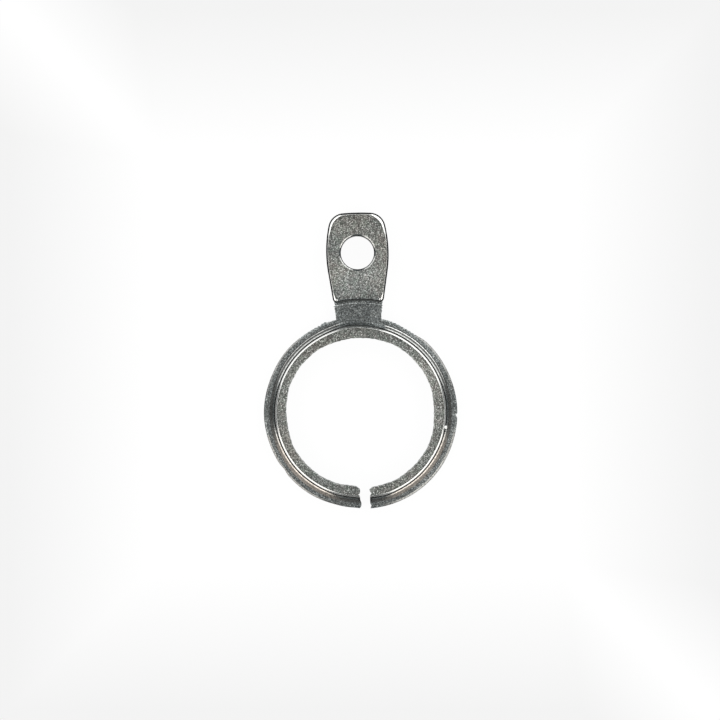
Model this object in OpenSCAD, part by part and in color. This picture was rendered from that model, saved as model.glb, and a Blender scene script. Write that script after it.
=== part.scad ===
// Stud holder of a wrist watch, in millimetres: one piece of steel.
// The bore axis is Z, the flat underside lies at z = 0 and the stud hole lies along +Y.

/* [Ring] */
// Bore that grips the boss of the balance cock
bore_d = 4.00; // [3.60:0.02:4.40]
// Radial width of the raised collar round the bore
collar_w = 0.29; // [0.20:0.01:0.40]
// Radial width of the low rim outside the collar
rim_w = 0.275; // [0.20:0.005:0.35]

/* [Plate] */
// Full thickness, at the collar and at the pad
plate_t = 0.60; // [0.50:0.01:0.90]
// Depth of the groove turned round the collar
groove_depth = 0.25; // [0.20:0.01:0.30]

/* [Tongue] */
// From the bore axis to the stud hole
stud_reach = 4.28; // [4.20:0.01:5.00]
// From the stud hole in to the foot of the pad
pad_heel = 1.28; // [0.90:0.01:1.30]
// From the stud hole out to the tip of the pad
pad_toe = 1.07; // [0.90:0.01:1.40]
// Greatest width of the pad, beside the stud hole
pad_w = 1.67; // [1.50:0.01:2.00]
// Width of the pad at its foot
foot_w = 1.37; // [1.30:0.01:1.45]
// Width of the neck where it meets the pad
neck_w = 1.30; // [1.00:0.01:1.34]
// Width of the neck where it leaves the rim
neck_root_w = 1.21; // [0.90:0.01:1.30]
// Radius of the bulging sides of the pad
side_r = 3.35; // [2.50:0.05:5.00]
// Radius of the slight crown along the tip
tip_r = 5.70; // [3.00:0.05:8.00]
// Radius of the two corners at the tip
corner_r = 0.42; // [0.20:0.01:0.55]
// Radius of the two corners at the foot
foot_corner_r = 0.12; // [0.08:0.01:0.20]

/* [Stud hole] */
// Diameter of the hole that takes the stud
stud_hole_d = 0.89; // [0.60:0.01:1.10]

/* [Slot] */
// Width of the saw cut through the ring
slot_w = 0.27; // [0.10:0.01:0.50]
// Angle from the line opposite the stud hole to the cut
slot_turn = 1.6; // [0:0.1:10]

/* [Edges] */
// Polished bevel on the outer edge of the collar
collar_bevel = 0.065; // [0.02:0.005:0.08]
// Fillet where the collar rises from the groove
collar_fillet = 0.09; // [0.02:0.005:0.11]
// Bevel on the outer edge of the rim
rim_bevel = 0.04; // [0.01:0.005:0.08]
// Polished bevel round the top of the pad
pad_bevel = 0.06; // [0.02:0.005:0.07]
// Countersink at both mouths of the stud hole
hole_bevel = 0.035; // [0.01:0.005:0.06]

/* [Hidden] */
// Steps of a full turn of a large arc, a corner and a turned surface
ARC_STEPS = 160;
CORNER_STEPS = 32;
TURN_STEPS = 180;
// How far a cutter runs past the surface that it opens
past = 0.2;

bore_r = bore_d / 2;
collar_r = bore_r + collar_w;
rim_r = collar_r + rim_w;
rim_t = plate_t - groove_depth;
foot_reach = stud_reach - pad_heel;
tip_reach = stud_reach + pad_toe;

// The arc of each side is centred level with the stud hole, past the middle line
side_cx = side_r - pad_w / 2;
// The crown of the tip is centred on the middle line
tip_cy = tip_reach - tip_r;
// A tip corner touches the side's arc and the crown from inside, so its centre is where
// two smaller circles about their centres meet
side_c = [-side_cx, stud_reach];
tip_c = [0, tip_cy];
side_gap = side_r - corner_r;
tip_gap = tip_r - corner_r;
c_dist = norm(tip_c - side_c);
c_along = (side_gap * side_gap - tip_gap * tip_gap + c_dist * c_dist) / (2 * c_dist);
c_across = sqrt(side_gap * side_gap - c_along * c_along);
c_dir = (tip_c - side_c) / c_dist;
corner_c = side_c + c_along * c_dir + c_across * [-c_dir.y, c_dir.x];
// A foot corner ends on the groove's outer edge
foot_cx = foot_w / 2 - foot_corner_r;
foot_cy = sqrt(foot_reach * foot_reach - foot_cx * foot_cx) + foot_corner_r;

// Half section of the ring before the groove is turned, with x as the radius
module ring_section() {
    polygon([
        [bore_r, 0],
        [rim_r, 0],
        [rim_r, rim_t - rim_bevel],
        [rim_r - rim_bevel, rim_t],
        [rim_r - rim_bevel, plate_t],
        [bore_r, plate_t]
    ]);
}

// Outline of the pad, drawn in by inset all round
module pad_outline(inset) {
    hull() {
        // Bulging sides
        intersection() {
            translate([-pad_w, foot_cy])
                square([2 * pad_w, corner_c.y - foot_cy]);
            translate([-side_cx, stud_reach])
                circle(r = side_r - inset, $fn = ARC_STEPS);
            translate([side_cx, stud_reach])
                circle(r = side_r - inset, $fn = ARC_STEPS);
        }
        // Crown of the tip
        intersection() {
            translate([-corner_c.x, stud_reach])
                square([2 * corner_c.x, pad_toe]);
            translate([0, tip_cy])
                circle(r = tip_r - inset, $fn = ARC_STEPS);
        }
        // Corners
        for (side = [-1, 1]) {
            translate([side * corner_c.x, corner_c.y])
                circle(r = corner_r - inset, $fn = CORNER_STEPS);
            translate([side * foot_cx, foot_cy])
                circle(r = foot_corner_r - inset, $fn = CORNER_STEPS);
        }
    }
}

// Pad, bevelled round its top
module pad() {
    hull() {
        linear_extrude(plate_t - pad_bevel) pad_outline(0);
        linear_extrude(plate_t) pad_outline(pad_bevel);
    }
}

// Neck between the ring and the pad
module neck() {
    neck_start = collar_r + collar_fillet;
    linear_extrude(plate_t - pad_bevel)
        polygon([
            [-neck_root_w / 2, neck_start],
            [neck_root_w / 2, neck_start],
            [neck_root_w / 2, rim_r],
            [neck_w / 2, foot_reach],
            [-neck_w / 2, foot_reach],
            [-neck_root_w / 2, rim_r]
        ]);
}

// Groove turned round the collar: it bevels the collar, lowers the rim and the neck, and
// faces the pad's foot
module groove_cut() {
    fillet_c = [collar_r + collar_fillet, rim_t + collar_fillet];
    cut_top = plate_t + past;
    rotate_extrude($fn = TURN_STEPS) {
        polygon([
            [collar_r - collar_bevel - past, cut_top],
            [collar_r, plate_t - collar_bevel],
            [collar_r, fillet_c.y],
            fillet_c,
            [fillet_c.x, rim_t],
            [foot_reach, rim_t],
            [foot_reach, cut_top]
        ]);
        translate(fillet_c) circle(r = collar_fillet, $fn = CORNER_STEPS);
    }
}

// Saw cut through the ring, opposite the tongue
module slot_cut() {
    rotate([0, 0, slot_turn])
        translate([-slot_w / 2, -rim_r - past, -past])
            cube([slot_w, rim_r + past, plate_t + 2 * past]);
}

// Stud hole with a countersink at each mouth
module stud_hole_cut() {
    hole_r = stud_hole_d / 2;
    translate([0, stud_reach, 0]) {
        translate([0, 0, -past])
            cylinder(r = hole_r, h = plate_t + 2 * past, $fn = TURN_STEPS);
        translate([0, 0, -past])
            cylinder(r1 = hole_r + hole_bevel + past, r2 = hole_r, h = hole_bevel + past,
                     $fn = TURN_STEPS);
        translate([0, 0, plate_t - hole_bevel])
            cylinder(r1 = hole_r, r2 = hole_r + hole_bevel + past, h = hole_bevel + past,
                     $fn = TURN_STEPS);
    }
}

module stud_holder() {
    color([0.47, 0.48, 0.47])
        difference() {
            union() {
                rotate_extrude($fn = TURN_STEPS) ring_section();
                neck();
                pad();
            }
            groove_cut();
            slot_cut();
            stud_hole_cut();
        }
}

stud_holder();
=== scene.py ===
# Looks of the watch stud holder: one steel piece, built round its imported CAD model.
import math

import bpy
import numpy as np
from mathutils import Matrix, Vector
from mathutils.geometry import delaunay_2d_cdt

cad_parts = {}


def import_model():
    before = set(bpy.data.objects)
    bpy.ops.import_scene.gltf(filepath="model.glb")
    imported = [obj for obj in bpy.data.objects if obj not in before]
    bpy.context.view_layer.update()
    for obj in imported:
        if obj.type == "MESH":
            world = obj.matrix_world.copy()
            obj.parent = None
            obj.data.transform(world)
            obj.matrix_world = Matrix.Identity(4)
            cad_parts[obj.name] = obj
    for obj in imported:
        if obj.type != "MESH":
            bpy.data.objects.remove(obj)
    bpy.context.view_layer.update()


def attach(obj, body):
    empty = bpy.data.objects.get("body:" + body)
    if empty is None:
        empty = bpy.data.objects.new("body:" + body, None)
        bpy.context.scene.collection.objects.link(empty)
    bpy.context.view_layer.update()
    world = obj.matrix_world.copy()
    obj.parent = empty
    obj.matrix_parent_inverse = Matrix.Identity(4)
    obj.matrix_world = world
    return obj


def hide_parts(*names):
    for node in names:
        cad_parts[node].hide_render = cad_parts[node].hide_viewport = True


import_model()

MM = 0.001

# The CAD model's sizes. Lengths are in millimetres here, unless a comment says otherwise
BORE_R = 2.00
COLLAR_R = 2.29
RIM_R = 2.565
PLATE_T = 0.60
RIM_T = 0.35
FOOT_R = 3.00
FOOT_HALF_W = 0.685
FOOT_CORNER_R = 0.12
NECK_HALF_W = 0.65
NECK_ROOT_HALF_W = 0.605
STUD_REACH = 4.28
STUD_HOLE_R = 0.445
PAD_HALF_W = 0.835
TIP_REACH = 5.35
SIDE_R = 3.35
TIP_R = 5.70
CORNER_R = 0.42
SLOT_HALF_W = 0.135
SLOT_TURN = math.radians(1.6)

# Edges, as runs of width, tilt at either end in degrees, and steps. Each starts on the flat
COLLAR_EDGE = [(0.009, 19, 23, 2), (0.032, 29, 47, 5), (0.031, 74, 80, 3)]
HOLE_EDGE = [(0.028, 29, 42, 5), (0.020, 58, 66, 3)]
RIM_EDGE = [(0.034, 28, 38, 4), (0.006, 60, 60, 1)]
# The steep strip round the pad, outside its polished bevel, painted dark as shade
PAD_STRIP = [(0.038, 52, 60, 3)]
# The fillet rises from the groove's floor to the collar's wall
FILLET = [(0.094, 27, 39, 10), (0.004, 55, 68, 1)]
# Broken edge of the bore, the slot and the neck, and of the whole underside: distance and drop
BREAK_AT = [0.0, 0.004, 0.012, 0.022]
BREAK_DROP = [0.014, 0.007, 0.001, 0.0]
# Countersink under the stud hole
SINK_AT = [0.0, 0.035]
SINK_DROP = [0.035, 0.0]

# The pad's polished bevel: its full width, its drop over that width, and the share by which
# it is gentler than its middle at its inner end and steeper at its outer end
PAD_SHINE_W = 0.046
PAD_SHINE_DROP = 0.0200
SHINE_BOW = 0.16
SHINE_STEPS = 6
# It is wide at the pad's corners and narrow elsewhere: share of the full width, by distance
# along the outline from the middle of the foot
SHINE_ALONG = [0.0, 0.46, 0.54, 0.68, 0.80, 0.87, 2.20, 2.45, 2.70, 2.92, 3.08, 3.22, 3.34]
SHINE_SHARE = [0.80, 0.80, 1.50, 0.86, 0.52, 0.18, 0.21, 0.39, 0.86, 1.0, 0.90, 0.55, 0.32]
# On the right it is wider round the tip's corner: place, spread and added share
RIGHT_CORNER = (2.95, 0.25, 0.25)

# Groove: the foot of the collar's wall, and a fillet that is wider on the slot's side
WALL_R = COLLAR_R + 0.014
WALL_FOOT_R = WALL_R + 0.004
FILLET_SPREAD_UPPER = 0.95
FILLET_SPREAD_LOWER = 1.25
# Radius of the fillet at the pad's foot
FOOT_FILLET = 0.022
# Tool marks that run round the groove: radius, width and height
FILLET_RIDGE = (2.398, 0.010, 0.0050)
NECK_RIDGE = (2.942, 0.012, 0.0030)
# The first mark fades out between these shares of the way in plan from the tongue's side of
# the bore to the slot's
RIDGE_FADE = (0.22, 0.38)
# A burr that leans out of the collar's edge over the fillet: place, radius, top and slope
BURR_TURN = math.radians(-10.9)
BURR_AT = 2.296
BURR_R = 0.044
BURR_TOP = 0.596
BURR_SLOPE = math.tan(math.radians(21))

# The flats are a little darker within this distance of the pad's and the collar's edges
PAD_MARGIN = 0.075
COLLAR_MARGIN = 0.045
# Within this distance of the flat, the foot's corners are polished
FOOT_SHINE_W = 0.017
# The bevel along the pad's foot is dark, partly as painted shade, up to this distance from the
# middle line, and up to this distance above the bore axis
FOOT_DARK_HALF_W = 0.555
FOOT_DARK_Y = FOOT_R + 0.1
# A dark line of painted shade along the pad's foot: where it starts and ends, measured in from the
# outline
FOOT_LINE = (0.030, 0.050)
# The wall under the pad's foot, with painted shade, starts this close to it
FOOT_WALL_W = 0.003
# The slot's faces are painted black with shade below the collar: how far from the slot, and how far
# short of the fillet's end
SLOT_SHADE = 0.042
SLOT_SHADE_SHORT = 0.04
# The collar's edge is duller under the neck and by the slot, up to this far from the middle
DULL_HALF_W = 0.53
# Beside the neck the fillet is dull as far to the right as this
DULL_RIGHT = 0.70
# The rim's outer edge is torn between these angles, in degrees, on both sides of the neck
RIM_TORN = (54, 128)
# Its bevel is not burnished on the right, on the left and below, where the sine of twice the
# angle stays within this
RIM_DULL = 0.42

# Where the bore's edge is burred inwards or worn outwards: degrees, degrees and millimetres
BORE_WEAR = [
    (0, 15, -0.042),
    (60, 12, 0.018),
    (121, 7, 0.020),
    (141, 20, 0.036),
    (160, 7, 0.018),
    (188, 6, -0.012),
    (208, 9, 0.022),
    (230, 16, 0.012),
    (262, 9, -0.028),
    (267.5, 1.5, 0.040),
    (275.6, 1.5, 0.062),
    (280, 5, 0.014),
    (294, 7, 0.024),
    (304, 6, 0.008),
    (322, 26, 0.012),
]
# The collar's edge lies further out under the tongue and on the left, and further in by the slot
COLLAR_WEAR = [
    (24, 10, -0.006),
    (75, 22, 0.014),
    (96, 13, 0.034),
    (130, 36, 0.018),
    (180, 15, 0.010),
    (238, 14, -0.012),
    (262, 10, -0.022),
    (278, 4, -0.006),
    (288, 6, 0.012),
    (330, 14, -0.006),
]
# The rim's outer edge: worn beside the neck and the slot, a bump beside the neck, a nick on the
# right, and ragged from the neck round to where its bevel is polished
RIM_SWELL = 0.006
RIM_WEAR = [
    (2, 16, 0.008),
    (45, 14, 0.010),
    (53, 3.5, -0.016),
    (59, 8, -0.034),
    (111, 1.6, 0.032),
    (140, 15, 0.018),
    (178, 18, 0.024),
    (215, 3, -0.024),
    (254, 12, -0.024),
    (266, 5, -0.016),
    (316, 34, 0.024),
    (357.2, 0.8, -0.044),
]
RIM_RAGGED = [(63, 10, 0.012), (112, 10, 0.010)]
# On the upper left its bevel starts further out
RIM_LATE = [(142, 22, 0.012)]
# How far such wear reaches into the surface
BORE_WEAR_REACH = 0.06
COLLAR_WEAR_REACH = 0.165
RIM_WEAR_REACH = 0.05
# The collar's wear is level over most of its reach, and its middle lies this far outside the edge
COLLAR_WEAR_POWER = 6
COLLAR_WEAR_OUT = 0.025
# Fine waves of the bore's edge and of the rim's ragged parts: count in a turn, shift and height
BORE_WAVES = [(23, 1, 0.003), (57, 0, 0.003), (101, 2, 0.003)]
RIM_TEETH = [(151, 0, 1.0), (263, 1, 0.7)]
# The slot's faces, by distance from the bore axis: left and right
SLOT_LEFT = [
    (2.08, 0.05, 0.012),
    (2.205, 0.030, -0.040),
    (2.45, 0.075, 0.030),
    (2.56, 0.02, -0.022),
]
SLOT_RIGHT = [
    (2.05, 0.035, 0.010),
    (2.175, 0.045, -0.042),
    (2.38, 0.08, 0.004),
    (2.50, 0.030, -0.026),
]
SLOT_WEAR_REACH = 0.06
# Waves of the neck's torn sides: radians in each millimetre, shift and height. Then the radii
# between which they are torn, and how far that reaches
NECK_JAG = [(84, 0, 0.024), (137, 1, 0.012)]
NECK_TORN_FROM = RIM_R + 0.02
NECK_TORN_TO = FOOT_R - 0.01
NECK_WEAR_REACH = 0.05
# How strongly they are torn, most of all on the left beside the pad, two notches on the right,
# and how far the left side lies out
NECK_JAG_RIGHT = 0.45
NECK_JAG_LEFT = 0.25
NECK_TEETH_LEFT = [(2.93, 0.10, 0.95)]
NECK_NOTCHES_RIGHT = [(2.955, 0.016, -0.034), (2.634, 0.018, -0.028)]
NECK_SHIFT_LEFT = -0.012

# The neck's own surface takes over from the ring's at this radius
NECK_START_R = 2.42
# Steps of the mesh along the pad's outline, on its foot's corners and where depths are measured
STEP = 0.034
CORNER_STEP = 0.017
FINE_STEP = 0.004
# Steps in a turn of the ring, of the stud hole and of the burr
RING_STEPS = 432
HOLE_STEPS = 140
BURR_STEPS = 20
# Rings on the fillet, by distance from the wall's foot: close together, then further apart
FILLET_CLOSE_TO = 0.060
FILLET_CLOSE_STEP = 0.005
FILLET_WIDE_FROM = 0.065
FILLET_WIDE_STEP = 0.006
# Rings on the flat of the collar and of the rim
COLLAR_RINGS = 6
RIM_RINGS = 5
# Arcs across the neck: their ends, how far they stay from the rim and from the tool mark, and
# their step. Then the arcs on the mark, within this reach of its middle
NECK_SPAN = (math.radians(74), math.radians(106))
NECK_ARCS_FROM = 0.05
NECK_ARCS_CLEAR = 0.03
NECK_ARC_STEP = 0.06
NECK_MARK_REACH = 0.02
NECK_MARK_ARCS = 9
# Lines along the neck's sides: from and to, the step, and how far out the outermost lies
NECK_DRAWN = (NECK_START_R - 0.02, FOOT_R + 0.04)
NECK_SIDE_STEP = 0.012
NECK_SIDE_OUT = 0.004
# Lines on the fillet at the pad's foot, as depths that are negative outside the outline, and
# where the ends of the foot's dark line lie
FOOT_FILLET_DEPTHS = [-FOOT_FILLET, -0.014, -0.008, -0.003]
FOOT_SPAN = (math.radians(78), math.radians(102))
# Rings on the burr and just outside it
BURR_RINGS = [0.35 * BURR_R, 0.7 * BURR_R, BURR_R, BURR_R + 0.003]
# Lines along the slot: from and to, and the step
SLOT_DRAWN = (BORE_R - 0.05, RIM_R + 0.06)
SLOT_STEP = 0.02
# Only points between the first two distances above the bore axis can lie on the neck, and only
# points past the third on the pad
NECK_FROM_Y = NECK_START_R - 0.2
NECK_TO_Y = FOOT_R + 0.03
PAD_FROM_Y = FOOT_R - 0.3
# Points this close to an outline count as on it. The finer one is for points that coincide
# and for the burr's edge
TOUCH = 1e-5
MERGE = 1e-6
# Depths are measured for this many points at a time
BATCH = 2000
SHARP_ANGLE = math.radians(14)
# The mesh's own record of each point's distance from the bore axis, before wear moved it
TURNED_RADIUS = "turned_radius"

# The finishes and the painted shade, as numbers of the piece's materials
GRAINED, MARGIN, POLISHED, BURNISHED, BEVELLED, TURNED, PAINTED_SHADE, SHADED_WALL, BLANKED = range(9)


def arc(centre, radius, start, end, step=STEP):
    """Points along an arc, and their normals away from its centre."""
    count = max(2, math.ceil(abs(end - start) * radius / step))
    turn = np.linspace(start, end, count + 1)
    normal = np.column_stack([np.cos(turn), np.sin(turn)])
    return np.array(centre) + radius * normal, normal


def circle(centre, radius, count):
    turn = np.linspace(0, 2 * math.pi, count, endpoint=False)
    return np.array(centre) + radius * np.column_stack([np.cos(turn), np.sin(turn)])


def bell(distance, reach, power=2):
    """1 where there is no distance, and falling to nothing past the reach."""
    return np.exp(-((distance / reach) ** power))


def lumps(at, places):
    """A curve that is flat but for lumps, each given as its place, width and height."""
    return sum(height * bell(at - place, width) for place, width, height in places)


def lumps_round(degrees, places):
    """The same round the bore axis, with places and widths in degrees."""
    return sum(
        height * bell((degrees - place + 180) % 360 - 180, width)
        for place, width, height in places
    )


def waves(at, kinds):
    """Sine waves added up, each given as its count, shift and height."""
    return sum(height * np.sin(count * at + shift) for count, shift, height in kinds)


def profile(runs):
    """Distances from where an edge leaves the flat, and the drop at each."""
    along, drop = [0.0], [0.0]
    for width, tilt_in, tilt_out, steps in runs:
        for k in range(steps):
            tilt = math.radians(tilt_in + (tilt_out - tilt_in) * (k + 0.5) / steps)
            along.append(along[-1] + width / steps)
            drop.append(drop[-1] + width / steps * math.tan(tilt))
    return np.array(along), np.array(drop)


def pad_outline(step):
    """The pad's outline, anticlockwise from the middle of its foot, and its outward normals."""
    side_c = np.array([PAD_HALF_W - SIDE_R, STUD_REACH])
    tip_c = np.array([0.0, TIP_REACH - TIP_R])
    side_gap, tip_gap = SIDE_R - CORNER_R, TIP_R - CORNER_R
    apart = tip_c - side_c
    dist = float(np.hypot(*apart))
    along = (side_gap**2 - tip_gap**2 + dist**2) / (2 * dist)
    across = math.sqrt(side_gap**2 - along**2)
    aim = apart / dist
    corner_c = side_c + along * aim + across * np.array([-aim[1], aim[0]])
    foot_x = FOOT_HALF_W - FOOT_CORNER_R
    foot_c = np.array([foot_x, math.sqrt((FOOT_R + FOOT_CORNER_R) ** 2 - foot_x**2)])
    foot_turn = math.atan2(foot_c[1], foot_c[0])
    # A straight line joins the foot corner to the bulging side
    gap = foot_c - side_c
    line_turn = math.atan2(gap[1], gap[0]) + math.acos(
        (SIDE_R - FOOT_CORNER_R) / float(np.hypot(*gap))
    )
    side_turn = math.atan2(*(corner_c - side_c)[::-1])
    tip_turn = math.atan2(*(corner_c - tip_c)[::-1])
    foot = arc((0, 0), FOOT_R, math.pi / 2, foot_turn, step)
    line_normal = np.array([math.cos(line_turn), math.sin(line_turn)])
    line_ends = foot_c + FOOT_CORNER_R * line_normal, side_c + SIDE_R * line_normal
    count = math.ceil(float(np.hypot(*(line_ends[1] - line_ends[0]))) / step)
    share = np.linspace(0, 1, count + 1)[1:-1, None]
    runs = [
        (foot[0], -foot[1]),
        arc(foot_c, FOOT_CORNER_R, foot_turn - math.pi, line_turn, min(step, CORNER_STEP)),
        (line_ends[0] + share * (line_ends[1] - line_ends[0]), line_normal + 0 * share),
        arc(side_c, SIDE_R, line_turn, side_turn, step),
        arc(corner_c, CORNER_R, side_turn, tip_turn, step),
        arc(tip_c, TIP_R, tip_turn, math.pi / 2, step),
    ]
    half = [np.vstack(x) for x in zip(*runs)]
    fresh = np.r_[True, np.hypot(*np.diff(half[0], axis=0).T) > MERGE]
    half = [x[fresh] for x in half]
    other = [(x * [-1, 1])[::-1][1:-1] for x in half]
    return [np.vstack(x) for x in zip(half, other)]


def shine_width(outline):
    """Width of the pad's polished bevel beside each point of its outline."""
    steps = np.hypot(*np.diff(np.vstack([outline, outline[:1]]), axis=0).T)
    along = np.r_[0, np.cumsum(steps)]
    nearer = np.minimum(along, along[-1] - along)[:-1]
    share = np.interp(nearer, SHINE_ALONG, SHINE_SHARE)
    share += np.where(nearer == along[:-1], lumps(nearer, [RIGHT_CORNER]), 0.0)
    return PAD_SHINE_W * share


fine_points, fine_normals = pad_outline(FINE_STEP)
fine_shine = shine_width(fine_points)


def pad_place(p):
    """How far inside the pad's outline each point lies, and its bevel's width there.

    Outside the outline the depth is negative.
    """
    depth, shine = np.full(len(p), -1.0), np.full(len(p), PAD_SHINE_W)
    near = np.flatnonzero(p[:, 1] > PAD_FROM_Y)
    for part in np.array_split(near, max(1, len(near) // BATCH)):
        nearest = np.hypot(*(p[part, None] - fine_points).transpose(2, 0, 1)).argmin(1)
        offset = fine_points[nearest] - p[part]
        depth[part] = (offset * fine_normals[nearest]).sum(1)
        shine[part] = fine_shine[nearest]
    return depth, shine


def pad_depth(p):
    return pad_place(p)[0]


def pad_edge_drop(depth, shine):
    """Drop of the pad's edge. Its polished bevel has the same slopes at every width."""
    share = ((strip_along[-1] + shine - depth) / shine).clip(0, 1)
    bow = 1 - SHINE_BOW + SHINE_BOW * share
    polished = PAD_SHINE_DROP * shine / PAD_SHINE_W * share * bow
    return polished + np.interp(strip_along[-1] - depth, strip_along, strip_drop)


def neck_half_width(y):
    """Half the neck's width, which grows from the rim out to the pad's foot."""
    rise = ((y - RIM_R) / (FOOT_R - RIM_R)).clip(0)
    return NECK_ROOT_HALF_W + (NECK_HALF_W - NECK_ROOT_HALF_W) * rise


def neck_depth(p):
    """How far inside the neck's sides each point lies."""
    within = (p[:, 1] > NECK_FROM_Y) & (p[:, 1] < NECK_TO_Y)
    return np.where(within, neck_half_width(p[:, 1]) - np.abs(p[:, 0]), -1.0)


def slot_place(p):
    """Distance across and along the slot: x from its middle, y outward from the bore axis."""
    c, s = math.cos(SLOT_TURN), math.sin(SLOT_TURN)
    return p[:, 0] * c + p[:, 1] * s, p[:, 0] * s - p[:, 1] * c


def slot_distance(p):
    """How far each point lies from the slot's nearer face. Inside the slot it is negative."""
    x, out = slot_place(p)
    return np.where(out > 0, np.abs(x) - SLOT_HALF_W, 1.0)


def hole_distance(p):
    return np.hypot(p[:, 0], p[:, 1] - STUD_REACH) - STUD_HOLE_R


def groove_height(r, turn):
    """Height of the groove's wall, fillet and floor, with the marks that the tool left."""
    lower = 0.5 - 0.5 * np.sin(turn)
    spread = FILLET_SPREAD_UPPER + (FILLET_SPREAD_LOWER - FILLET_SPREAD_UPPER) * lower
    from_foot = (r - WALL_FOOT_R).clip(0) / spread
    height = RIM_T + np.interp(fillet_along[-1] - from_foot, fillet_along, fillet_rise)
    share = np.interp(lower, RIDGE_FADE, [1.0, 0.0])
    return height + share * lumps(r, [FILLET_RIDGE]) + lumps(r, [NECK_RIDGE])


def burr_distance(r, turn):
    return np.hypot(r - BURR_AT, (turn - BURR_TURN) * BURR_AT)


collar_along, collar_drop = profile(COLLAR_EDGE)
strip_along, strip_drop = profile(PAD_STRIP)
hole_along, hole_drop = profile(HOLE_EDGE)
rim_along, rim_drop = profile(RIM_EDGE)
fillet_along, fillet_rise = profile(FILLET)
COLLAR_FLAT_R = WALL_R - collar_along[-1]
RIM_FLAT_R = RIM_R - rim_along[-1]
FILLET_END_R = WALL_FOOT_R + fillet_along[-1] * FILLET_SPREAD_LOWER


def top_height(p):
    """Height of the upper surface."""
    r, turn = np.hypot(*p.T), np.arctan2(p[:, 1], p[:, 0])
    collar = PLATE_T - np.interp(r - COLLAR_FLAT_R, collar_along, collar_drop)
    groove = groove_height(r, turn)
    past_flat = r - RIM_FLAT_R - lumps_round(np.degrees(turn), RIM_LATE)
    rim = groove - np.interp(past_flat, rim_along, rim_drop)
    ring = np.where(r <= WALL_R + TOUCH, collar, rim)
    ring = np.where(r > RIM_R + TOUCH, -1.0, ring)
    (pad_in, shine), neck_in = pad_place(p), neck_depth(p)
    rise = 1 - (-pad_in / FOOT_FILLET).clip(0, 1)
    foot = FOOT_FILLET * (1 - np.sqrt(1 - rise**2))
    neck = groove + foot - np.interp(neck_in, BREAK_AT, BREAK_DROP)
    neck = np.where((neck_in >= -TOUCH) & (r > NECK_START_R), neck, -1.0)
    pad = PLATE_T - pad_edge_drop(pad_in, shine)
    pad = np.where(pad_in >= -TOUCH, pad, -1.0)
    height = np.maximum(np.maximum(ring, neck), pad)
    height -= np.interp(r - BORE_R, BREAK_AT, BREAK_DROP)
    height -= np.interp(slot_distance(p), BREAK_AT, BREAK_DROP)
    height -= np.interp(hole_along[-1] - hole_distance(p), hole_along, hole_drop)
    burr = burr_distance(r, turn)
    with_burr = np.maximum(height, BURR_TOP - burr * BURR_SLOPE)
    return np.where(burr < BURR_R + MERGE, with_burr, height)


def bottom_height(p):
    """Height of the underside, which is flat but for its broken edges."""
    r = np.hypot(*p.T)
    outer = np.maximum(np.maximum(RIM_R - r, neck_depth(p)), pad_depth(p))
    edge = np.minimum(np.minimum(outer, r - BORE_R), slot_distance(p))
    sink = np.interp(hole_distance(p), SINK_AT, SINK_DROP)
    return np.maximum(np.interp(edge, BREAK_AT, BREAK_DROP), sink)


def in_part(p):
    r = np.hypot(*p.T)
    solid = (r < RIM_R) | (neck_depth(p) > 0) | (pad_depth(p) > 0)
    return solid & (r > BORE_R) & (slot_distance(p) > 0) & (hole_distance(p) > 0)


plan_points, plan_edges = [], []


def draw(points, closed=False):
    """Adds a curve that the triangles of the plan follow."""
    first, count = len(plan_points), len(points)
    plan_points.extend(Vector(p) for p in points)
    plan_edges.extend((first + k, first + k + 1) for k in range(count - 1))
    if closed:
        plan_edges.append((first + count - 1, first))


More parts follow.
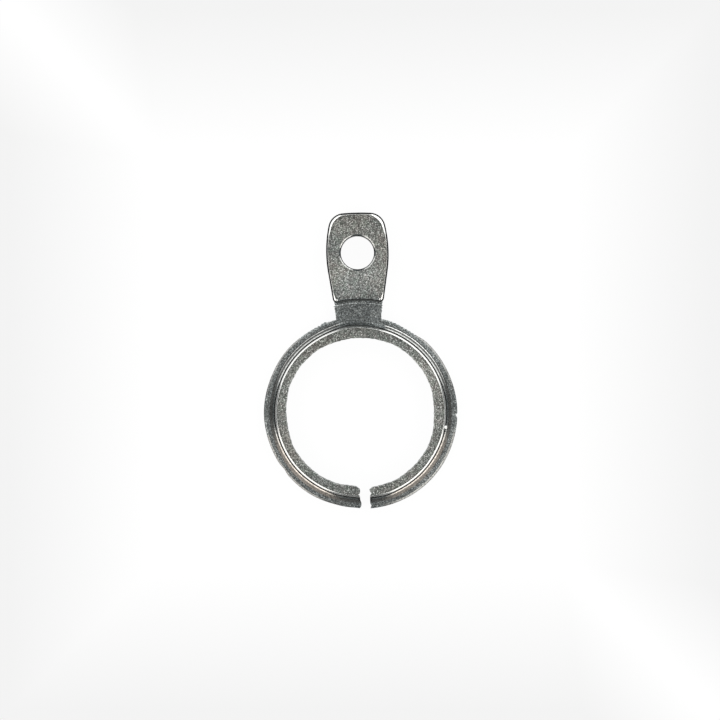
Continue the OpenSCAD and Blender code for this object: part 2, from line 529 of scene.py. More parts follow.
def draw_plan():
    """Draws every line at which the surface bends, is worn or changes its finish."""
    bore_edge = BORE_R + np.array(BREAK_AT)
    collar_flat = np.linspace(bore_edge[-1], COLLAR_FLAT_R - COLLAR_MARGIN, COLLAR_RINGS)[1:]
    fillet_close = np.arange(0, FILLET_CLOSE_TO, FILLET_CLOSE_STEP)
    fillet_wide = np.arange(WALL_FOOT_R + FILLET_WIDE_FROM, FILLET_END_R, FILLET_WIDE_STEP)
    rim_flat = np.linspace(FILLET_END_R, RIM_FLAT_R, RIM_RINGS)[:-1]
    for radius in [
        *bore_edge,
        *collar_flat,
        *(COLLAR_FLAT_R + collar_along),
        *(WALL_FOOT_R + fillet_close),
        *fillet_wide,
        *rim_flat,
        *(RIM_FLAT_R + rim_along),
    ]:
        draw(circle((0, 0), radius, RING_STEPS), closed=True)
    mark_r = NECK_RIDGE[0]
    neck_flat = np.arange(RIM_R + NECK_ARCS_FROM, mark_r - NECK_ARCS_CLEAR, NECK_ARC_STEP)
    on_mark = np.linspace(mark_r - NECK_MARK_REACH, mark_r + NECK_MARK_REACH, NECK_MARK_ARCS)
    for radius in [*neck_flat, *on_mark]:
        draw(arc((0, 0), radius, *NECK_SPAN)[0])
    outline, normals = pad_outline(STEP)
    for depth in [*FOOT_FILLET_DEPTHS, *(strip_along[-1] - strip_along)]:
        draw(outline - depth * normals, closed=True)
    shine = shine_width(outline)
    draw(outline - (strip_along[-1] + shine + PAD_MARGIN)[:, None] * normals, closed=True)
    for depth in FOOT_LINE:
        draw(arc((0, 0), FOOT_R + depth, *FOOT_SPAN)[0])
    for share in np.linspace(0, 1, SHINE_STEPS + 1)[:-1]:
        depth = strip_along[-1] + shine * (1 - share)
        draw(outline - depth[:, None] * normals, closed=True)
    burr_c = BURR_AT * np.array([math.cos(BURR_TURN), math.sin(BURR_TURN)])
    for radius in BURR_RINGS:
        draw(circle(burr_c, radius, BURR_STEPS), closed=True)
    for distance in sorted({*(hole_along[-1] - hole_along).round(6), SINK_AT[-1]}):
        draw(circle((0, STUD_REACH), STUD_HOLE_R + distance, HOLE_STEPS), closed=True)
    neck_y = np.arange(*NECK_DRAWN, NECK_SIDE_STEP)
    for inset in [-NECK_SIDE_OUT, *BREAK_AT]:
        x = neck_half_width(neck_y) - inset
        draw(np.column_stack([x, neck_y]))
        draw(np.column_stack([-x, neck_y]))
    out = np.arange(*SLOT_DRAWN, SLOT_STEP)
    c, s = math.cos(SLOT_TURN), math.sin(SLOT_TURN)
    for inset in [*BREAK_AT, SLOT_SHADE]:
        for x in (SLOT_HALF_W + inset, -SLOT_HALF_W - inset):
            draw(np.column_stack([x * c + out * s, x * s - out * c]))


def warp(p):
    """Small faults of the real piece, as moves in plan: worn bore, ragged cut, torn neck."""
    r, turn = np.hypot(*p.T), np.arctan2(p[:, 1], p[:, 0])
    degrees = np.degrees(turn)
    away = p / r[:, None]
    bore = waves(turn, BORE_WAVES) + lumps_round(degrees, BORE_WEAR)
    push = bore * bell(r - BORE_R, BORE_WEAR_REACH)
    collar = lumps_round(degrees, COLLAR_WEAR)
    push += collar * bell(r - COLLAR_R - COLLAR_WEAR_OUT, COLLAR_WEAR_REACH, COLLAR_WEAR_POWER)
    rim = RIM_SWELL + lumps_round(degrees, RIM_WEAR)
    rim += lumps_round(degrees, RIM_RAGGED) * waves(turn, RIM_TEETH)
    push += rim * bell(r - RIM_R, RIM_WEAR_REACH)
    moved = p + push[:, None] * away
    # The saw left both faces of the slot ragged
    x, out = slot_place(p)
    near = bell(slot_distance(p).clip(0), SLOT_WEAR_REACH) * (out > 0)
    across = np.where(x < 0, lumps(out, SLOT_LEFT), -lumps(out, SLOT_RIGHT)) * near
    moved += across[:, None] * [math.cos(SLOT_TURN), math.sin(SLOT_TURN)]
    # The blanking tool tore the neck's sides
    torn = bell(np.abs(p[:, 0]) - NECK_HALF_W, NECK_WEAR_REACH)
    torn *= np.where((r > NECK_TORN_FROM) & (r < NECK_TORN_TO), 1.0, 0.0)
    y, right = p[:, 1], p[:, 0] > 0
    side = np.where(right, NECK_JAG_RIGHT, -NECK_JAG_LEFT - lumps(y, NECK_TEETH_LEFT))
    notch = np.where(right, lumps(y, NECK_NOTCHES_RIGHT), NECK_SHIFT_LEFT)
    moved[:, 0] += (side * waves(y, NECK_JAG) + notch) * torn
    return moved


def build_mesh():
    """The watertight mesh of the piece, with the material of each face."""
    draw_plan()
    found = delaunay_2d_cdt(plan_points, plan_edges, [], 0, MERGE)
    plan = np.array([tuple(v) for v in found[0]])
    faces = np.array(found[2])
    a, b, c = (plan[faces[:, k]] for k in range(3))
    turned_left = (b - a)[:, 0] * (c - a)[:, 1] - (b - a)[:, 1] * (c - a)[:, 0] > 0
    faces = np.where(turned_left[:, None], faces, faces[:, ::-1])
    faces = faces[in_part(plan[faces].mean(1))]
    used, faces = np.unique(faces, return_inverse=True)
    faces = faces.reshape(-1, 3)
    plan = plan[used]
    count = len(plan)
    top = top_height(plan)
    bottom = bottom_height(plan)
    # The edges with a face on one side only are the rim of the plan, where the walls stand
    edges = np.vstack([faces[:, [0, 1]], faces[:, [1, 2]], faces[:, [2, 0]]])
    both = {tuple(e) for e in edges.tolist()}
    rim = np.array([e for e in both if e[::-1] not in both])
    walls = np.column_stack([rim[:, 0], rim[:, 0] + count, rim[:, 1] + count, rim[:, 1]])
    moved = warp(plan)
    points = np.vstack([np.column_stack([moved, top]), np.column_stack([moved, bottom])])
    mesh = bpy.data.meshes.new("stud_holder_steel")
    polygons = [*faces.tolist(), *(faces[:, ::-1] + count).tolist(), *walls.tolist()]
    mesh.from_pydata((points * MM).tolist(), [], polygons)
    middle = plan[faces].mean(1)
    zones = [*top_zones(middle), *([GRAINED] * len(faces)), *([BLANKED] * len(walls))]
    mesh.polygons.foreach_set("material_index", zones)
    radii = mesh.attributes.new(TURNED_RADIUS, "FLOAT", "POINT")
    radii.data.foreach_set("value", np.tile(np.hypot(*plan.T) * MM, 2))
    mesh.shade_smooth()
    mesh.set_sharp_from_angle(angle=SHARP_ANGLE)
    return mesh


def top_zones(p):
    """The material of each upper face, from where its middle lies."""
    r, turn = np.hypot(*p.T), np.arctan2(p[:, 1], p[:, 0])
    (pad_in, shine), neck_in, hole_out = pad_place(p), neck_depth(p), hole_distance(p)
    on_pad = pad_in > 0
    off_neck = (neck_in < 0) & ~on_pad
    zone = np.full(len(p), TURNED)
    from_flat = strip_along[-1] + shine - pad_in
    dark_r = WALL_R - COLLAR_EDGE[-1][0]
    zone[(r < COLLAR_FLAT_R) | on_pad] = GRAINED
    zone[(r > COLLAR_FLAT_R - COLLAR_MARGIN) & (r < COLLAR_FLAT_R)] = MARGIN
    zone[on_pad & (from_flat > -PAD_MARGIN)] = MARGIN
    zone[(r > COLLAR_FLAT_R) & (r < dark_r)] = POLISHED
    # The collar's steep wall gets painted shade
    zone[(r > dark_r) & (r < WALL_FOOT_R)] = SHADED_WALL
    zone[(r > WALL_FOOT_R) & (r < FILLET_END_R)] = BURNISHED
    # The collar's edge is dull under the neck and by the slot, and under the neck its wall and
    # the fillet too
    middle = np.abs(p[:, 0]) < DULL_HALF_W
    by_neck = middle & (p[:, 1] > 0)
    under_neck = (p[:, 0] > -DULL_HALF_W) & (p[:, 0] < DULL_RIGHT) & (p[:, 1] > 0)
    zone[middle & (r > COLLAR_FLAT_R) & (r < dark_r)] = BURNISHED
    zone[by_neck & (r > dark_r) & (r < WALL_FOOT_R)] = BLANKED
    zone[under_neck & (r > WALL_FOOT_R) & ~on_pad] = TURNED
    degrees = np.degrees(turn)
    torn = (degrees > RIM_TORN[0]) & (degrees < RIM_TORN[1])
    level = np.abs(np.sin(2 * turn)) < RIM_DULL
    zone[off_neck & (r > RIM_FLAT_R) & ~torn & ~level] = BEVELLED
    # Painted shade on the rim's steep outer strip
    zone[off_neck & (r > RIM_FLAT_R + RIM_EDGE[0][0]) & ~torn] = PAINTED_SHADE
    zone[burr_distance(r, turn) < BURR_R] = POLISHED
    foot_end = (p[:, 1] < FOOT_R) & (np.abs(p[:, 0]) < FOOT_HALF_W - FOOT_CORNER_R)
    at_foot = (p[:, 1] < FOOT_DARK_Y) & (np.abs(p[:, 0]) < FOOT_DARK_HALF_W)
    zone[on_pad & (from_flat > 0)] = POLISHED
    # Painted shade on the pad's steep strip, on a line along its foot and on the wall below the foot
    zone[on_pad & (pad_in < strip_along[-1])] = PAINTED_SHADE
    zone[on_pad & foot_end & (from_flat > FOOT_SHINE_W)] = TURNED
    zone[on_pad & at_foot & (from_flat > 0)] = TURNED
    zone[on_pad & at_foot & (pad_in < strip_along[-1])] = BLANKED
    zone[on_pad & at_foot & (pad_in > FOOT_LINE[0]) & (pad_in < FOOT_LINE[1])] = PAINTED_SHADE
    zone[(neck_in > 0) & ~on_pad & (r > FOOT_R - FOOT_WALL_W) & at_foot] = SHADED_WALL
    zone[hole_out < hole_along[-1]] = BURNISHED
    # Painted shade on the stud hole's steep run
    zone[hole_out < HOLE_EDGE[1][0]] = PAINTED_SHADE
    zone[r < BORE_R + BREAK_AT[1]] = BLANKED
    from_slot = slot_distance(p)
    on_fillet = (r > WALL_FOOT_R) & (r < FILLET_END_R - SLOT_SHADE_SHORT)
    # Painted shade on the fillet beside the slot and on the slot's edges
    zone[on_fillet & (from_slot < SLOT_SHADE)] = PAINTED_SHADE
    zone[from_slot < BREAK_AT[1]] = PAINTED_SHADE
    return zone


def nodes_of(owner):
    """A cleared node tree, and a function that adds a node with its settings and inputs."""
    owner.use_nodes = True
    tree = owner.node_tree
    tree.nodes.clear()

    def add(kind, inputs=(), **settings):
        node = tree.nodes.new(kind)
        for name, value in settings.items():
            setattr(node, name, value)
        for name, value in dict(inputs).items():
            if isinstance(value, bpy.types.NodeSocket):
                tree.links.new(value, node.inputs[name])
            else:
                node.inputs[name].default_value = value
        return node

    return add


def ramp(add, factor, stops):
    """A colour ramp with (position, grey or colour) stops."""
    node = add("ShaderNodeValToRGB", {"Fac": factor})
    elements = node.color_ramp.elements
    while len(elements) < len(stops):
        elements.new(0.5)
    for element, (place, colour) in zip(elements, stops):
        element.position = place
        element.color = (*colour, 1) if isinstance(colour, tuple) else (colour,) * 3 + (1,)
    return node.outputs["Color"]


# How much shorter the groove's marks are drawn round the bore than across it
MARK_SQUEEZE = 0.28
# Turns of the noise's lattice about its three axes, in radians
LATTICE_TURN = (0.6, 0.5, 0.3)
# Size of the grain's cells and spacing of its brighter dots, which are painted glints, in
# millimetres
GRAIN_SIZE = 0.022
GLINT_SIZE = 0.038


def per_mm(size):
    """The scale of a texture whose features are this many millimetres across."""
    return 1 / (size * MM)


def noise(add, vector, size, detail=2.0, roughness=0.5):
    """Noise on a turned lattice, because its contrast is low in the lattice's own planes."""
    tilted = {"Vector": vector, "Rotation": LATTICE_TURN}
    turned = add("ShaderNodeVectorRotate", tilted, rotation_type="EULER_XYZ").outputs["Vector"]
    settings = {"Vector": turned, "Scale": per_mm(size), "Detail": detail, "Roughness": roughness}
    return add("ShaderNodeTexNoise", settings).outputs["Fac"]


def multiply(add, a, b):
    """Two colours multiplied."""
    node = add("ShaderNodeMix", data_type="RGBA", blend_type="MULTIPLY")
    tree = node.id_data
    node.inputs[0].default_value = 1
    tree.links.new(a, node.inputs[6])
    tree.links.new(b, node.inputs[7])
    return node.outputs[2]


def shaded(add, tone, share, gain):
    """A colour that is multiplied by a gain as the share rises from 0 to 1."""
    return multiply(add, tone, ramp(add, share, [(0.0, 1.0), (1.0, gain)]))


def maths(add, operation, *values, **settings):
    """The result of a maths node."""
    node = add("ShaderNodeMath", dict(enumerate(values)), operation=operation, **settings)
    return node.outputs[0]


def span(add, value, start, end):
    """Rises from 0 to 1 as a length goes from start to end, in millimetres."""
    return add("ShaderNodeMapRange", {0: value, 1: start * MM, 2: end * MM}).outputs[0]


def steel(name, **settings):
    """A metal material, its add function, its shader and its object coordinates."""
    material = bpy.data.materials.new(name)
    add = nodes_of(material)
    shader = add("ShaderNodeBsdfPrincipled", {"Metallic": 1.0, **settings})
    add("ShaderNodeOutputMaterial", {"Surface": shader.outputs["BSDF"]})
    place = add("ShaderNodeTexCoord").outputs["Object"]
    return material, add, shader, place


def bump(add, shader, height, depth):
    """Relief of this many millimetres."""
    node = add("ShaderNodeBump", {"Height": height, "Strength": 1.0, "Distance": depth * MM})
    shader.id_data.links.new(node.outputs["Normal"], shader.inputs["Normal"])


def turned_radius(add):
    """Distance from the bore axis, before wear moved the surface."""
    return add("ShaderNodeAttribute", attribute_name=TURNED_RADIUS).outputs["Fac"]


def direction(add, place):
    """The direction from the bore axis, level and of unit length."""
    flat = add("ShaderNodeVectorMath", {0: place, 1: (1, 1, 0)}, operation="MULTIPLY")
    aim = add("ShaderNodeVectorMath", {0: flat.outputs["Vector"]}, operation="NORMALIZE")
    return aim.outputs["Vector"]


def facing(add, aim, middle, outer, inner):
    """Rises from 0 to 1 where a direction lies from outer to inner degrees off the middle."""
    turn = math.radians(middle)
    compare = {0: aim, 1: (math.cos(turn), math.sin(turn), 0)}
    near = add("ShaderNodeVectorMath", compare, operation="DOT_PRODUCT").outputs["Value"]
    ends = {1: math.cos(math.radians(outer)), 2: math.cos(math.radians(inner))}
    return add("ShaderNodeMapRange", {0: near, **ends}).outputs[0]


def grain(add, place, dark, bright, glint):
    """Fine cells of mixed shade, and brighter dots that are painted glints, as a colour that
    multiplies another.
    """
    cells = {"Vector": place, "Scale": per_mm(GRAIN_SIZE)}
    fleck = add("ShaderNodeTexVoronoi", cells).outputs["Color"]
    spread = {"Vector": place, "Scale": per_mm(GLINT_SIZE)}
    dots = add("ShaderNodeTexVoronoi", spread).outputs["Distance"]
    shade = ramp(add, fleck, [(0.20, dark), (0.55, 0.92), (0.85, bright)])
    return multiply(add, shade, ramp(add, dots, [(0.22, glint), (0.38, 1.10), (0.80, 0.70)]))


def tint_patches(add, place):
    """Faint patches of warmer and greener steel."""
    patch = noise(add, place, 0.12, detail=2.0)
    greener, plain, warmer = (0.97, 1.015, 0.98), (1.0, 1.0, 1.0), (1.03, 0.985, 0.985)
    return ramp(add, patch, [(0.36, greener), (0.5, plain), (0.64, warmer)])


# Tone of the flats in their darker and their lighter clouds
FLAT_TONES = [(0.35, (0.251, 0.263, 0.251)), (0.65, (0.297, 0.297, 0.273))]
# Painted light and shade on them between these two distances above the bore axis. The collar is
# painted darker under the tongue, and the pad is painted lightest below the stud hole and darkest at
# its foot
FLATS_SPAN = (1.2, 5.4)
PAINTED_LIGHT_BY_HEIGHT = [
    (0.00, 1.00),
    (0.16, 0.83),
    (0.40, 0.90),
    (0.44, 0.88),
    (0.49, 1.07),
    (0.58, 1.30),
    (0.70, 1.04),
    (1.00, 0.83),
]
# Painted light and shade on the collar by direction: middle, outer and inner half angle in degrees,
# and gain
PAINTED_LIGHT_BY_DIRECTION = [(45, 36, 16, 1.2), (202, 24, 8, 0.91)]
# The collar is darker beside the slot: from and to along the middle line, and gain
BY_SLOT, BY_SLOT_GAIN = (-1.2, -1.8), 0.88
# The pad is darker towards its sides: from and to across the middle line, and gain
PAD_SIDES, PAD_SIDES_GAIN = (0.40, 0.80), 0.98


def grained_steel(name="grained_steel", level=1.0):
    """Matt, speckled flats with painted light and shade. The level makes all of them lighter or
    darker.
    """
    material, add, shader, place = steel(name, Roughness=0.38)
    link = material.node_tree.links.new
    cloud = noise(add, place, 0.9, detail=1.0)
    tone = ramp(add, cloud, [(at, tuple(level * c for c in colour)) for at, colour in FLAT_TONES])
    split = add("ShaderNodeSeparateXYZ", {"Vector": place})
    x, y = split.outputs["X"], split.outputs["Y"]
    # Painted light and shade by height above the bore axis and by direction
    tone = multiply(add, tone, ramp(add, span(add, y, *FLATS_SPAN), PAINTED_LIGHT_BY_HEIGHT))
    aim = direction(add, place)
    for middle, outer, inner, gain in PAINTED_LIGHT_BY_DIRECTION:
        tone = shaded(add, tone, facing(add, aim, middle, outer, inner), gain)
    tone = shaded(add, tone, span(add, y, *BY_SLOT), BY_SLOT_GAIN)
    aside = span(add, maths(add, "ABSOLUTE", x), *PAD_SIDES)
    on_pad = maths(add, "GREATER_THAN", y, FOOT_R * MM)
    tone = shaded(add, tone, maths(add, "MULTIPLY", aside, on_pad), PAD_SIDES_GAIN)
    tone = multiply(add, tone, tint_patches(add, place))
    tone = multiply(add, tone, grain(add, place, 0.55, 1.8, 2.8))
    link(tone, shader.inputs["Base Color"])
    rough = ramp(add, noise(add, place, 0.03), [(0.3, 0.28), (0.7, 0.46)])
    link(rough, shader.inputs["Roughness"])
    bump(add, shader, noise(add, place, 0.024, detail=1.0, roughness=0.6), 0.0060)
    return material


def polished_steel():
    """Bright bevels with faint scratches."""
    material, add, shader, place = steel("polished_steel", Roughness=0.14)
    link = material.node_tree.links.new
    haze = noise(add, place, 0.05)
    tone = ramp(add, haze, [(0.3, (0.50, 0.50, 0.485)), (0.7, (0.61, 0.61, 0.59))])
    link(tone, shader.inputs["Base Color"])
    link(ramp(add, haze, [(0.3, 0.10), (0.7, 0.18)]), shader.inputs["Roughness"])
    bump(add, shader, noise(add, place, 0.03), 0.0004)
    return material


# A painted warm reflection on the fillet's lower corners, from and to this far from both middle
# lines
WARM_SPAN = (0.5, 0.9)
COOL_TINT, PAINTED_WARM_REFLECTION = (0.395, 0.398, 0.383), (0.466, 0.429, 0.387)
# How bright the dull parts stay, away from these corners and in them
DULL_COOL, DULL_WARM = 0.18, 0.27
# The next three change between these radii, and their stops are shares of the way. All of the
# countersink lies past the outer one, so it has the last stop
BURNISHED_SPAN = (2.30, 2.60)
BURNISHED_SHADES = [(0.11, 1.0), (0.19, 0.0), (0.98, 0.0), (1.0, 1.0)]
BURNISHED_ROUGHNESS = [(0.11, 0.17), (0.19, 0.36), (0.98, 0.36), (1.0, 0.17)]
THIRD_LINE_SHADES = [(0.28, 0.0), (0.31, 1.0), (0.34, 1.0), (0.385, 0.0)]
# Where the fillet has that third line, a painted highlight: middle, outer and inner half angle in
# degrees, and strength
THIRD_LINE_HIGHLIGHT = [(62, 46, 4, 2.2), (124, 34, 10, 1.0)]


def burnished_steel():
    """The fillet and the countersink: darker than the bevels, with a painted warm reflection on the
    slot's side.
    """
    material, add, shader, place = steel("burnished_steel", Roughness=0.17)
    link = material.node_tree.links.new
    # Both lower corners are warmer, as a painted reflection, and duller by less
    split = add("ShaderNodeSeparateXYZ", {"Vector": place})
    aside = maths(add, "ABSOLUTE", split.outputs["X"])
    below = maths(add, "MULTIPLY", split.outputs["Y"], -1.0)
    lower = span(add, maths(add, "MINIMUM", aside, below), *WARM_SPAN)
    tint = ramp(add, lower, [(0.0, COOL_TINT), (1.0, PAINTED_WARM_REFLECTION)])
    # The fillet is duller and rougher towards the groove's floor
    share = span(add, turned_radius(add), *BURNISHED_SPAN)
    least = ramp(add, lower, [(0.0, DULL_COOL), (1.0, DULL_WARM)])
    level = maths(add, "MAXIMUM", ramp(add, share, BURNISHED_SHADES), least)
    # On the upper side it has one more bright line at its end, a painted highlight on the tool mark
    line = ramp(add, share, THIRD_LINE_SHADES)
    aim = direction(add, place)
    for middle, outer, inner, strength in THIRD_LINE_HIGHLIGHT:
        near = maths(add, "MULTIPLY", facing(add, aim, middle, outer, inner), strength)
        level = maths(add, "MULTIPLY_ADD", line, near, level)
    tint = multiply(add, tint, level)
    fleck = noise(add, place, 0.034, detail=1.0)
    tone = multiply(add, tint, ramp(add, fleck, [(0.36, 0.66), (0.64, 1.36)]))
    link(tone, shader.inputs["Base Color"])
    link(ramp(add, share, BURNISHED_ROUGHNESS), shader.inputs["Roughness"])
    bump(add, shader, fleck, 0.0012)
    return material


def bevelled_steel():
    """The rim's bevel: a broken bright line."""
    material, add, shader, place = steel("bevelled_steel", Roughness=0.22)
    fleck = noise(add, place, 0.034, detail=1.0)
    tone = ramp(add, fleck, [(0.36, (0.135, 0.135, 0.130)), (0.64, (0.285, 0.285, 0.272))])
    material.node_tree.links.new(tone, shader.inputs["Base Color"])
    bump(add, shader, fleck, 0.0012)
    return material


# Painted light on the turned steel by direction: middle, outer and inner half angle in degrees, and
# gain
TURNED_PAINTED_LIGHT = [
    (43, 21, 8, 1.8),
    (142, 33, 10, 1.27),
    (190, 18, 6, 1.07),
    (210, 28, 8, 1.2),
    (315, 16, 6, 1.14),
    (330, 36, 12, 1.2),
    (355, 18, 8, 1.12),
]
# A burnished line runs across the neck, just inside the pad's foot, painted brighter as a highlight:
# its stops are shares of the way between these radii
NECK_LINE_SPAN = (2.90, 2.99)
NECK_LINE_SHADES = [(0.20, 1.0), (0.45, 3.2), (0.70, 1.0)]


def turned_steel():
    """The groove, the rim and the neck, with fine marks that run round the bore, and painted light.
    """
    material, add, shader, place = steel(
        "turned_steel", Roughness=0.34, Anisotropic=0.8, **{"Anisotropic Rotation": 0.25}
    )
    link = material.node_tree.links.new
    radius = turned_radius(add)
    aim = direction(add, place)
    # Marks are long round the bore and fine across it
    squeeze = {0: aim, "Scale": MARK_SQUEEZE * MM}
    around = add("ShaderNodeVectorMath", squeeze, operation="SCALE")
    lift = add("ShaderNodeCombineXYZ", {"Z": radius})
    both = {0: around.outputs["Vector"], 1: lift.outputs["Vector"]}
    marks = add("ShaderNodeVectorMath", both, operation="ADD").outputs["Vector"]
    streak = noise(add, marks, 0.02, detail=2.0)
    tone = ramp(add, streak, [(0.3, (0.162, 0.178, 0.180)), (0.7, (0.265, 0.277, 0.267))])
    tone = multiply(add, tone, grain(add, place, 0.50, 1.7, 2.0))
    # Painted light on the sides that face the lamps
    for middle, outer, inner, gain in TURNED_PAINTED_LIGHT:
        tone = shaded(add, tone, facing(add, aim, middle, outer, inner), gain)
    # The neck's burnished line, with a painted highlight
    share = span(add, radius, *NECK_LINE_SPAN)
    tone = multiply(add, tone, ramp(add, share, NECK_LINE_SHADES))
    link(tone, shader.inputs["Base Color"])
    bump(add, shader, streak, 0.0012)
    tangent = add("ShaderNodeTangent", direction_type="RADIAL", axis="Z")
    link(tangent.outputs["Tangent"], shader.inputs["Tangent"])
    return material


def painted_shade_steel(name, darkest, lightest):
    """Steep strips and walls, painted dark as shade."""
    edge_tint = {"Specular Tint": (0.12, 0.12, 0.12, 1)}
    material, add, shader, place = steel(name, Roughness=0.5, **edge_tint)
    link = material.node_tree.links.new
    patch = noise(add, place, 0.04)
    link(ramp(add, patch, [(0.3, darkest), (0.7, lightest)]), shader.inputs["Base Color"])
    bump(add, shader, patch, 0.001)
    return material


def blanked_steel():
    """The side walls: torn and streaked from top to bottom."""
    material, add, shader, place = steel("blanked_steel", Roughness=0.45)
    link = material.node_tree.links.new
    long = add("ShaderNodeVectorMath", {0: place, 1: (1, 1, 0.12)}, operation="MULTIPLY")
    streak = noise(add, long.outputs["Vector"], 0.035, detail=3.0, roughness=0.6)
    tone = ramp(add, streak, [(0.3, (0.110, 0.115, 0.115)), (0.7, (0.300, 0.305, 0.295))])
    link(tone, shader.inputs["Base Color"])
    link(ramp(add, streak, [(0.3, 0.55), (0.7, 0.36)]), shader.inputs["Roughness"])
    bump(add, shader, streak, 0.008)
    return material


def add_object(name, data):
    made = bpy.data.objects.new(name, data)
    bpy.context.scene.collection.objects.link(made)
    return made


# How bright the flats' margin is beside the flats
MARGIN_LEVEL = 0.85


def build_piece():
    """The piece, with its materials in the order of their numbers."""
    mesh = build_mesh()
    for material in (
        grained_steel(),
        grained_steel("margin_steel", MARGIN_LEVEL),
        polished_steel(),
        burnished_steel(),
        bevelled_steel(),
        turned_steel(),
        # Painted shade: near black on steep strips, dark grey on the walls
        painted_shade_steel("painted_shade_steel", 0.008, 0.030),
        painted_shade_steel("shaded_wall_steel", 0.034, 0.080),
        blanked_steel(),
    ):
        mesh.materials.append(material)
    piece = add_object("stud_holder_steel", mesh)
    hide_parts("stud_holder")
    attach(piece, "root")
    return piece


# The floor's half width and its distance below the piece, in metres
FLOOR_HALF = 0.5
FLOOR_DROP = 2e-6
# Share of its own light that the floor gives to the camera and to reflections
FLOOR_SHADE = 0.95
# Painted shade of the paper by distance from the picture's middle, where the light falls off. Along
# a diagonal it stays white, as a painted band of light
PAPER_FADE = [(5.4, 1.0), (6.1, 0.98), (7.7, 0.935), (9.4, 0.888), (14.0, 0.88)]
PAPER_REACH = 14.0
# What the paper loses in each millimetre away from that diagonal
DIAGONAL_LOSS = 0.033


def paper(add):
    """The floor's colour: white round the object, and faintly grey at the picture's border, as
    painted shade.
    """
    split = add("ShaderNodeSeparateXYZ", {"Vector": add("ShaderNodeTexCoord").outputs["Object"]})
    x, y = split.outputs["X"], split.outputs["Y"]
    reach = maths(add, "MAXIMUM", maths(add, "ABSOLUTE", x), maths(add, "ABSOLUTE", y))
    share = maths(add, "DIVIDE", reach, PAPER_REACH * MM)
    shade = ramp(add, share, [(at / PAPER_REACH, level) for at, level in PAPER_FADE])
    # A painted band of light along the diagonal
    off_diagonal = maths(add, "ABSOLUTE", maths(add, "ADD", x, y))
    loss = maths(add, "MULTIPLY", off_diagonal, DIAGONAL_LOSS / MM)
    glow = maths(add, "SUBTRACT", 1.0, loss, use_clamp=True)
    return maths(add, "MAXIMUM", shade, glow)


def floor():
    """The paper below the piece, which shows its own colour to the camera and to the metal."""
    half = FLOOR_HALF
    mesh = bpy.data.meshes.new("floor")
    corners = [(-half, -half, 0), (half, -half, 0), (half, half, 0), (-half, half, 0)]
    mesh.from_pydata(corners, [], [(0, 1, 2, 3)])
    made = add_object("floor", mesh)
    made.location = picture_middle(-FLOOR_DROP)
    made.rotation_euler = (0, 0, -LEAN)
    material = bpy.data.materials.new("floor_paper")
    add = nodes_of(material)
    colour = paper(add)
    diffuse = add("ShaderNodeBsdfDiffuse", {"Color": colour})
    glow = add("ShaderNodeEmission", {"Color": colour, "Strength": 1.0})
    path = add("ShaderNodeLightPath")
    rays = [path.outputs[name] for name in ("Is Camera Ray", "Is Glossy Ray", "Is Transmission Ray")]
    seen = maths(add, "ADD", maths(add, "ADD", rays[0], rays[1]), rays[2])
    share = maths(add, "MULTIPLY", seen, FLOOR_SHADE, use_clamp=True)
    mix = add("ShaderNodeMixShader", {0: share, 1: diffuse.outputs[0], 2: glow.outputs[0]})
    add("ShaderNodeOutputMaterial", {"Surface": mix.outputs[0]})
    mesh.materials.append(material)


# The panels' distance from the bore axis in metres, their radiance, and the elevation of
# their middles and half their height as angles
PANEL_DISTANCE = 0.25
PANEL_RADIANCE = 2.0
PANEL_ELEVATION = math.radians(27.5)
PANEL_HALF_HEIGHT = math.radians(22.5)
# Azimuth and half width in degrees, share of the radiance, and colour
PANELS = {
    "panel_ne": (45.5, 28.5, 1.0, (1, 1, 1)),
    "panel_nw": (135.6, 27.2, 0.81, (1, 1, 1)),
    "panel_sw": (220.5, 28.5, 1.03, (1, 0.97, 0.94)),
    "panel_se": (317.6, 28.4, 1.0, (1, 0.98, 0.95)),
}


def panels():
    """Four soft panels, one off each corner of the piece, with a dark gap between them."""
    height = 2 * PANEL_DISTANCE * math.tan(PANEL_HALF_HEIGHT)
    reach = PANEL_DISTANCE * math.cos(PANEL_ELEVATION)
    for name, (azimuth, half_width, share, tint) in PANELS.items():
        width = 2 * reach * math.tan(math.radians(half_width))
        light = bpy.data.lights.new(name, "AREA")
        light.shape = "RECTANGLE"
        light.size, light.size_y = width, height
        light.energy = share * PANEL_RADIANCE * math.pi * width * height
        light.color = tint
        lamp = add_object(name, light)
        turn, lift = math.radians(azimuth), PANEL_ELEVATION
        level = math.cos(lift)
        aim = Vector((math.cos(turn) * level, math.sin(turn) * level, math.sin(lift)))
        lamp.location = aim * PANEL_DISTANCE
        lamp.rotation_mode = "QUATERNION"
        lamp.rotation_quaternion = aim.to_track_quat("Z", "Y")
        lamp.visible_camera = False


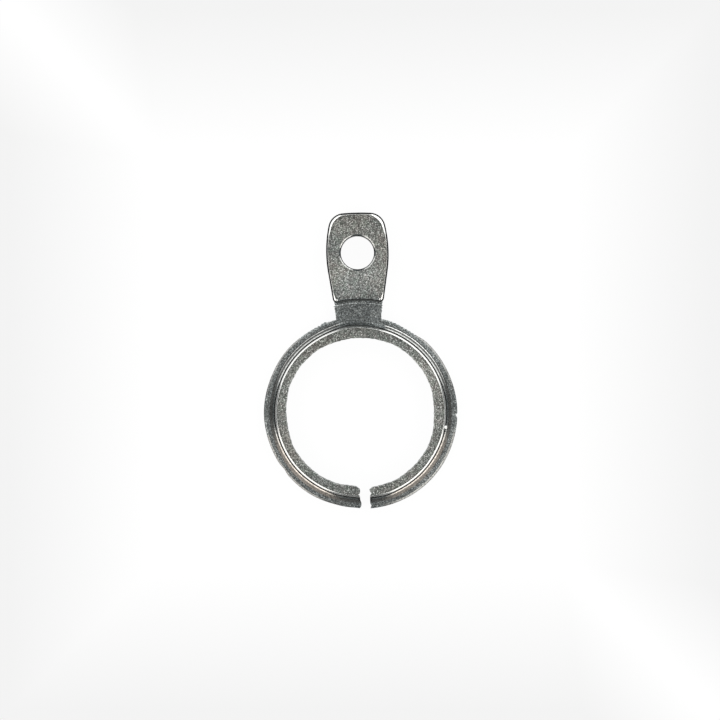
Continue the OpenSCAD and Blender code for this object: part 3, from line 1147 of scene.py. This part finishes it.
DIM_AIR = (0.13, 0.15, 0.16)
PALE_BAND = (0.9, 0.9, 0.9)
BRIGHT_RING = (1.7, 1.7, 1.7)
TOP_LIGHT = (0.5, 0.5, 0.5)
# Colour of the surroundings by the upward part of the direction, from level to straight up
SKY = [
    (0.0, PALE_BAND),
    (0.11, PALE_BAND),
    (0.14, DIM_AIR),
    (0.66, DIM_AIR),
    (0.69, BRIGHT_RING),
    (0.80, BRIGHT_RING),
    (0.83, TOP_LIGHT),
]


def world():
    """A soft top light in a bright ring, a pale band at the horizon and dim air between."""
    made = bpy.data.worlds.new("studio")
    bpy.context.scene.world = made
    add = nodes_of(made)
    aim = add("ShaderNodeTexCoord").outputs["Generated"]
    height = add("ShaderNodeSeparateXYZ", {"Vector": aim}).outputs["Z"]
    glow = add("ShaderNodeBackground", {"Color": ramp(add, height, SKY), "Strength": 1.0})
    add("ShaderNodeOutputWorld", {"Surface": glow.outputs[0]})


# Focal length, sensor width, and width of what the camera sees level with the piece's top
LENS, SENSOR = 200.0, 36.0
FRAME_W = 19.224
# The nearest and the farthest that the camera sees, in metres
CLIP_START, CLIP_END = 0.005, 10
# Where the bore axis falls, in pixels right of and below the picture's middle, and the lean
AXIS_RIGHT, AXIS_DOWN = 0.85, 52.8
LEAN = math.radians(1.24)
PICTURE_W = 720


def picture_middle(height):
    """The place under the middle of the picture, at a height in metres."""
    pixel = FRAME_W / PICTURE_W
    right = Vector((math.cos(LEAN), -math.sin(LEAN), 0))
    up = Vector((math.sin(LEAN), math.cos(LEAN), 0))
    return (up * AXIS_DOWN - right * AXIS_RIGHT) * pixel * MM + Vector((0, 0, height))


def camera():
    """Looks straight down, as the photograph does."""
    data = bpy.data.cameras.new("camera")
    data.lens, data.sensor_width = LENS, SENSOR
    data.clip_start, data.clip_end = CLIP_START, CLIP_END
    made = add_object("camera", data)
    made.location = picture_middle((PLATE_T + FRAME_W * LENS / SENSOR) * MM)
    made.rotation_euler = (0, 0, -LEAN)
    bpy.context.scene.camera = made


build_piece()
floor()
panels()
world()
camera()
bpy.context.scene.view_settings.view_transform = "Standard"
